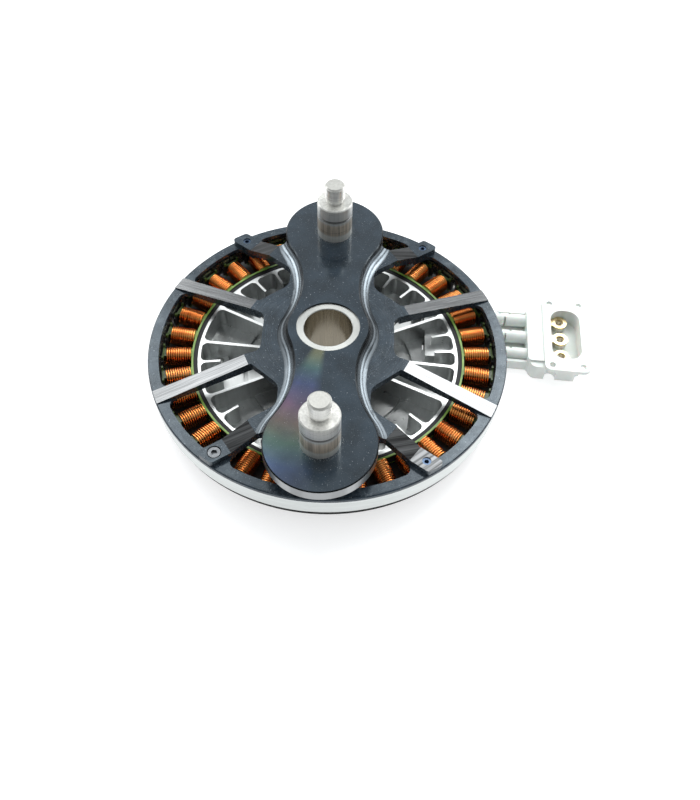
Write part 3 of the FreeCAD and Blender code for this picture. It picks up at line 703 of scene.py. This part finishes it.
def dress_bell():
    """Polished bar, milled spokes, ramps, boss and lobe walls, and black anodising elsewhere."""
    spokes = [milled("milled_spoke_%d" % k, 0.16, turn, 0.0006, 0.2) for k, turn in enumerate((25, -25))]
    boss = milled("milled_boss", 0.15, 40, 0.0013, 0.3, 0.7)
    ramp = milled("milled_ramp", 0.065, 20, 0.0014, 0.3, 0.7)
    wall = milled("lobe_wall", 0.34, 0, 0.004, 0.3)
    dress("rotor_bell", turned_bell(), bar_top_material(), *spokes, boss, ramp, bar_side_material(), wall)

    level = 0.9985          # the normal of a level face points up by more than this

    def on_bar_top(centre, normal):
        return normal.z > 0.99 and centre.z > BAR_TOP - 0.1 * MM

    def on_slope(centre, normal):
        return 0.5 < normal.z < level and centre.z > RIM_TOP

    def on_plain_spoke(centre, normal):
        radius, angle = polar(centre)
        return on_slope(centre, normal) and radius > 36 * MM and angle < 32

    def on_rising_spoke(centre, normal):
        return on_plain_spoke(centre, normal) and centre.x * centre.y > 0

    def on_falling_spoke(centre, normal):
        return on_plain_spoke(centre, normal) and centre.x * centre.y < 0

    def on_screw_ramp(centre, normal):
        radius, angle = polar(centre)
        return on_slope(centre, normal) and radius > 55 * MM and 40 < angle < 62

    def on_front_right_boss(centre, normal):
        at_boss_top = normal.z > level and abs(centre.z - BOSS_TOP) < 1 * MM
        return at_boss_top and centre.y < 0 < centre.x

    def on_bar_side(centre, normal):
        above_web = WEB_TOP + 0.004 * MM < centre.z < BAR_TOP
        return above_web and normal.z < 0.9998 and abs(centre.x) < 33 * MM

    def on_lobe_wall(centre, normal):
        return abs(normal.z) < 0.05 and WEB_TOP < centre.z < BAR_TOP and abs(centre.y) > 58 * MM

    paint_faces("rotor_bell", [
        (1, on_bar_top),
        (2, on_rising_spoke),
        (3, on_falling_spoke),
        (4, on_front_right_boss),
        (5, on_screw_ramp),
        (7, on_lobe_wall),
        (6, on_bar_side),
    ])


def dress_rotor():
    """Everything that turns, apart from the bell."""
    dress("bell_cap_screw", plated("black_steel", (0.17, 0.18, 0.19), 0.3))
    dress("bell_set_screws", turned_steel("blued_steel", (0.09, 0.13, 0.20), 0.25))
    dress("flux_ring", turned_steel("plated_ring", (0.72, 0.75, 0.74), 0.34, 0.0012))
    dress("hollow_shaft", ground_shaft(), turned_steel("shaft_end", (0.46, 0.47, 0.45), 0.34))
    paint_faces("hollow_shaft", [(1, lambda centre, normal: normal.z > 0.5)])
    dress("shaft_circlip", plated("spring_steel", (0.16, 0.16, 0.17), 0.35))
    dress("magnets", plated("nickel_plate", (0.55, 0.54, 0.52), 0.25))
    dress("pin_nuts", turned_steel("turned_steel", (0.72, 0.73, 0.73), 0.22))
    pins = pin_steel()
    for node in ("blade_pin_front", "blade_pin_rear"):
        dress(node, pins)


def dress_bearings():
    """Both bearings: bright steel races and balls, and brass cages."""
    races = turned_steel("race_steel", (0.62, 0.62, 0.63), 0.12)
    brass = plated("cage_brass", (0.72, 0.50, 0.22), 0.3)
    for place in ("lower", "upper"):
        dress("ball_cage_" + place, brass)
        for part in ("inner_race_", "outer_race_", "bearing_balls_"):
            dress(part + place, races)


def dress_stator():
    """Everything that stands still, apart from the bearings and the leads."""
    dress("winding_cover", fibre_board())
    dress("stator_core", laminations())
    green = green_insulation()
    for node in ("insulation_top", "insulation_bottom"):
        dress(node, green)
    # Painted light: the pockets and walls get a darker copy of the aluminium as painted shade, and the
    # top faces a lighter copy as a painted highlight.
    dress("stator_carrier", machined_aluminium("pocket_aluminium_painted_shade", 0.55, 0.34, 0.84),
          machined_aluminium("top_aluminium_painted_highlight", 0.72, 0.34))
    lip = 0.3 * MM
    paint_faces("stator_carrier", [
        (1, lambda centre, normal: normal.z > 0.95 and centre.z > CARRIER_TOP - lip)])
    dress("lead_grommets", rubber("black_rubber", 0.02))
    nylon = white_nylon()
    for node in ("connector_housing", "connector_boots"):
        dress(node, nylon)
    dress("ring_terminals", plated("gold_plate", (0.70, 0.56, 0.31), 0.3))
    dress("terminal_posts", plated("pale_gold", (0.80, 0.77, 0.68), 0.3))
    soften("stator_carrier", 0.3 * MM)
    soften("connector_housing", 0.35 * MM)


# ---- the scene ----------------------------------------------------------
make_camera()
make_leads()
make_studio()
make_windings()
dress_bell()
dress_rotor()
dress_bearings()
dress_stator()
